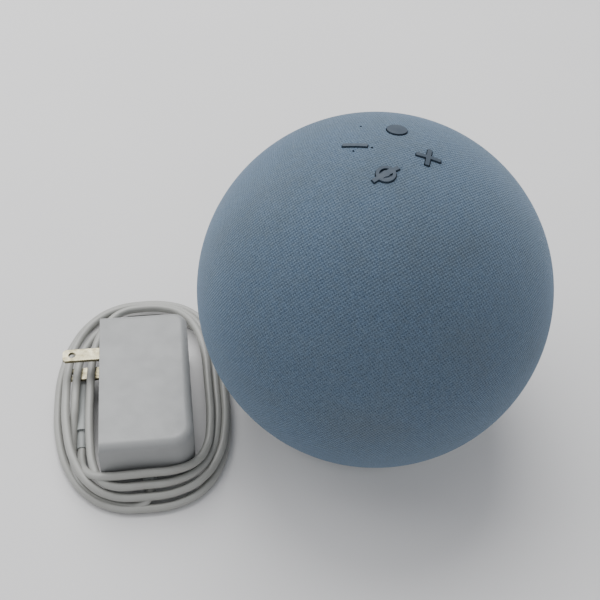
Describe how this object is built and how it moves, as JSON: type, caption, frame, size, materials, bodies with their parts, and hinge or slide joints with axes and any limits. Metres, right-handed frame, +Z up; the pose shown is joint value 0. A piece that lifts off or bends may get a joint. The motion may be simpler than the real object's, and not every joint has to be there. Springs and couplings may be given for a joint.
{
  "type": "smart speaker",
  "caption": "Fabric-covered ball-shaped smart speaker with top buttons, rear sockets and a light ring at its base, with its mains adapter and coiled lead.",
  "frame": {"origin": "on the table, under the middle of the ball", "axes": "+Z up through the top of the ball, -Y to the front, +X to the right as seen from the front"},
  "size_m": [0.2144, 0.1673, 0.1331],
  "materials": {
    "knit": "woven, matt",
    "shell": "fine texture",
    "button": "matt",
    "dark_plastic": "moulded",
    "black_plastic": "moulded",
    "diffuser": "frosted, translucent",
    "foot_rubber": "matt",
    "foam": "closed-cell foam",
    "brass": "turned",
    "screw_steel": "zinc plated",
    "plate_steel": "plated",
    "magnet": "coated",
    "board": "solder mask",
    "tinned": "tinned",
    "copper": "enamelled copper wire",
    "amber_film": "polyimide film",
    "former_paper": "polyimide tube",
    "spider_cloth": "resin-dipped cloth",
    "cone": "pressed fibre",
    "basket": "satin",
    "surround": "matt",
    "dome": "formed foil",
    "heat_sink": "die cast",
    "pad": "soft",
    "lamp": "clear",
    "adapter_plastic": "satin",
    "cord": "satin",
    "pin_metal": "plated, worn",
    "tape": "yellow tape",
    "plug_plastic": "satin"
  },
  "bodies": {
    "speaker": {"fabric_cover": "knit", "grille_shell": "dark_plastic", "rear_shell": "shell", "port_panel": "shell", "base_plate": "shell", "light_ring": "diffuser", "rubber_foot": "foot_rubber", "tripod_insert": "brass", "base_chassis": "dark_plastic", "base_screws": "screw_steel", "ring_light_board": "board", "ring_lights": "lamp", "button_carrier": "dark_plastic", "carrier_screws": "screw_steel", "button_board": "board", "tact_switches": "tinned", "microphones": "brass", "mic_seals": "foam", "button_ribbon": "amber_film", "woofer_basket": "basket", "woofer_magnet": "magnet", "woofer_top_plate": "plate_steel", "woofer_back_plate": "plate_steel", "woofer_spider": "spider_cloth", "woofer_surround": "surround", "woofer_gasket": "foam", "woofer_screws": "screw_steel", "tweeter_bodies": "black_plastic", "tweeter_magnets": "plate_steel", "enclosure_baffle": "dark_plastic", "enclosure_bowl": "dark_plastic", "enclosure_seal": "foam", "enclosure_screws": "screw_steel", "heat_sink": "heat_sink", "thermal_pad": "pad", "main_board": "board", "shield_cans": "tinned", "wifi_antennas": "amber_film", "port_board": "board", "dc_jack": "black_plastic", "audio_jack": "black_plastic", "adapter_case": "adapter_plastic", "adapter_pin_cover": "adapter_plastic", "adapter_pins": "pin_metal", "adapter_board": "board", "adapter_transformer": "tape", "adapter_strain_relief": "plug_plastic", "lead_tubes": "cord", "lead_coil": "cord", "dc_plug": "plug_plastic"},
    "action_button": {"action_button": "button"},
    "volume_down_button": {"volume_down_button": "button"},
    "volume_up_button": {"volume_up_button": "button"},
    "mic_off_button": {"mic_off_button": "button"},
    "woofer_moving_assembly": {"voice_coil_former": "former_paper", "voice_coil_winding": "copper", "woofer_cone": "cone", "dust_cap": "cone"},
    "left_tweeter_dome": {"left_tweeter_dome": "dome"},
    "right_tweeter_dome": {"right_tweeter_dome": "dome"}
  },
  "joints": [
    {"name": "action_button_press", "type": "slide", "parent": "speaker", "child": "action_button", "axis": [0, 0, -1], "range_m": [0, 0.0005], "stiffness_N_per_m": 1500},
    {"name": "volume_down_button_press", "type": "slide", "parent": "speaker", "child": "volume_down_button", "axis": [0, 0, -1], "range_m": [0, 0.0005], "stiffness_N_per_m": 1500},
    {"name": "volume_up_button_press", "type": "slide", "parent": "speaker", "child": "volume_up_button", "axis": [0, 0, -1], "range_m": [0, 0.0005], "stiffness_N_per_m": 1500},
    {"name": "mic_off_button_press", "type": "slide", "parent": "speaker", "child": "mic_off_button", "axis": [0, 0, -1], "range_m": [0, 0.0005], "stiffness_N_per_m": 1500},
    {"name": "woofer_stroke", "type": "slide", "parent": "speaker", "child": "woofer_moving_assembly", "axis": [0, 0, 1], "range_m": [-0.003, 0.003], "stiffness_N_per_m": 1200, "deforming": ["woofer_surround", "woofer_spider"]},
    {"name": "left_tweeter_stroke", "type": "slide", "parent": "speaker", "child": "left_tweeter_dome", "axis": [-0.6157, -0.788, 0], "range_m": [-0.0003, 0.0003], "stiffness_N_per_m": 1500},
    {"name": "right_tweeter_stroke", "type": "slide", "parent": "speaker", "child": "right_tweeter_dome", "axis": [0.6157, -0.788, 0], "range_m": [-0.0003, 0.0003], "stiffness_N_per_m": 1500}
  ]
}
